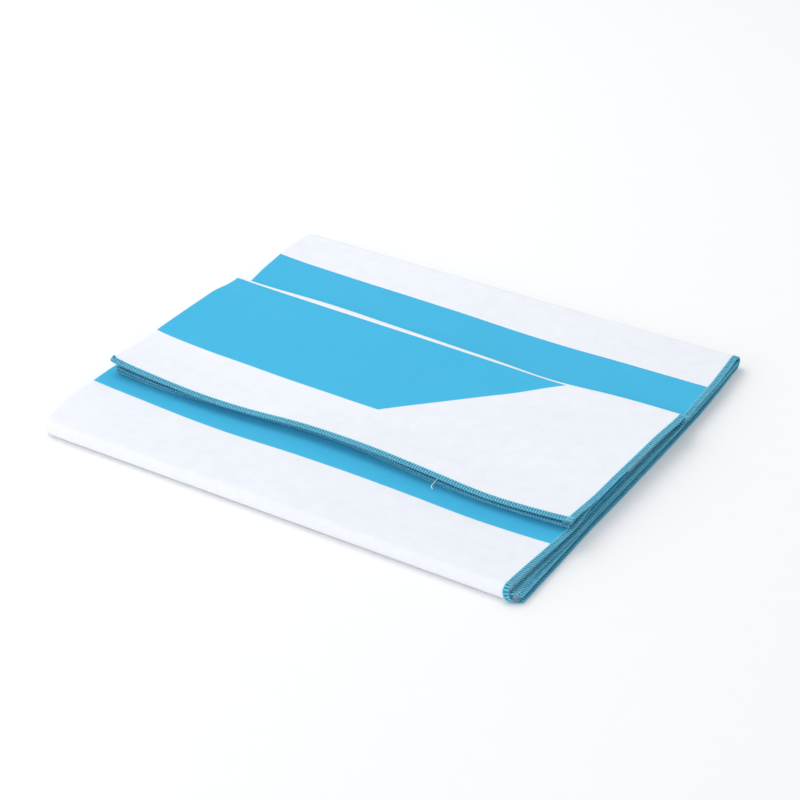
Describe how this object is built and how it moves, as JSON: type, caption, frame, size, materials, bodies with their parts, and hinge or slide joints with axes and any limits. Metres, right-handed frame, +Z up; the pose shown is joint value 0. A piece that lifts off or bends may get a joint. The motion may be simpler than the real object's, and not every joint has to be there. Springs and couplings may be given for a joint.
{
  "type": "folded towel",
  "caption": "Quick-dry microfibre towel with wide blue and white stripes and an overlocked edge, folded flat with a narrower flap on top.",
  "frame": {"origin": "on the resting surface, under the middle of the folded towel's box", "axes": "+X along the creases to the side with the overlocked long edges, +Y from the front fold to the back fold, +Z up"},
  "size_m": [0.411, 0.3648, 0.0225],
  "materials": {
    "printed_cloth": "soft brushed microfibre, white with printed blue bands",
    "overlock_hem": "dense blue overlock stitches",
    "thread": "matt white sewing thread"
  },
  "bodies": {
    "lower_panel": {"lower_cloth": "printed_cloth", "lower_hem_ply_4": "overlock_hem", "lower_hem_ply_1": "overlock_hem", "front_fold_cloth": "printed_cloth", "front_fold_hem_ply_4": "overlock_hem", "front_fold_hem_ply_1": "overlock_hem", "back_fold_cloth": "printed_cloth", "back_fold_hem_ply_4": "overlock_hem", "back_fold_hem_ply_1": "overlock_hem"},
    "upper_panel": {"upper_cloth": "printed_cloth", "upper_hem_ply_4": "overlock_hem", "upper_hem_ply_1": "overlock_hem", "flap_fold_cloth": "printed_cloth", "flap_fold_hem_ply_4": "overlock_hem", "flap_fold_hem_ply_1": "overlock_hem"},
    "flap": {"flap_cloth": "printed_cloth", "flap_hem_ply_4": "overlock_hem", "flap_hem_ply_1": "overlock_hem", "flap_end_hem": "overlock_hem", "thread_end": "thread"},
    "tail": {"tail_cloth": "printed_cloth", "tail_hem_ply_4": "overlock_hem", "tail_hem_ply_1": "overlock_hem", "tail_end_hem": "overlock_hem"}
  },
  "joints": [
    {"name": "front_fold", "type": "hinge", "parent": "lower_panel", "child": "upper_panel", "pos_m": [0, -0.176, 0.00615], "axis": [1, 0, 0], "range_deg": [0, 172], "deforming": ["front_fold_cloth", "front_fold_hem_ply_4", "front_fold_hem_ply_1"]},
    {"name": "flap_fold", "type": "hinge", "parent": "upper_panel", "child": "flap", "pos_m": [0, 0.07, 0.019], "axis": [-1, 0, 0], "range_deg": [0, 180], "deforming": ["flap_fold_cloth", "flap_fold_hem_ply_4", "flap_fold_hem_ply_1"]},
    {"name": "back_fold", "type": "hinge", "parent": "lower_panel", "child": "tail", "pos_m": [0, 0.176, 0.00615], "axis": [-1, 0, 0], "range_deg": [0, 180], "deforming": ["back_fold_cloth", "back_fold_hem_ply_4", "back_fold_hem_ply_1"]}
  ]
}
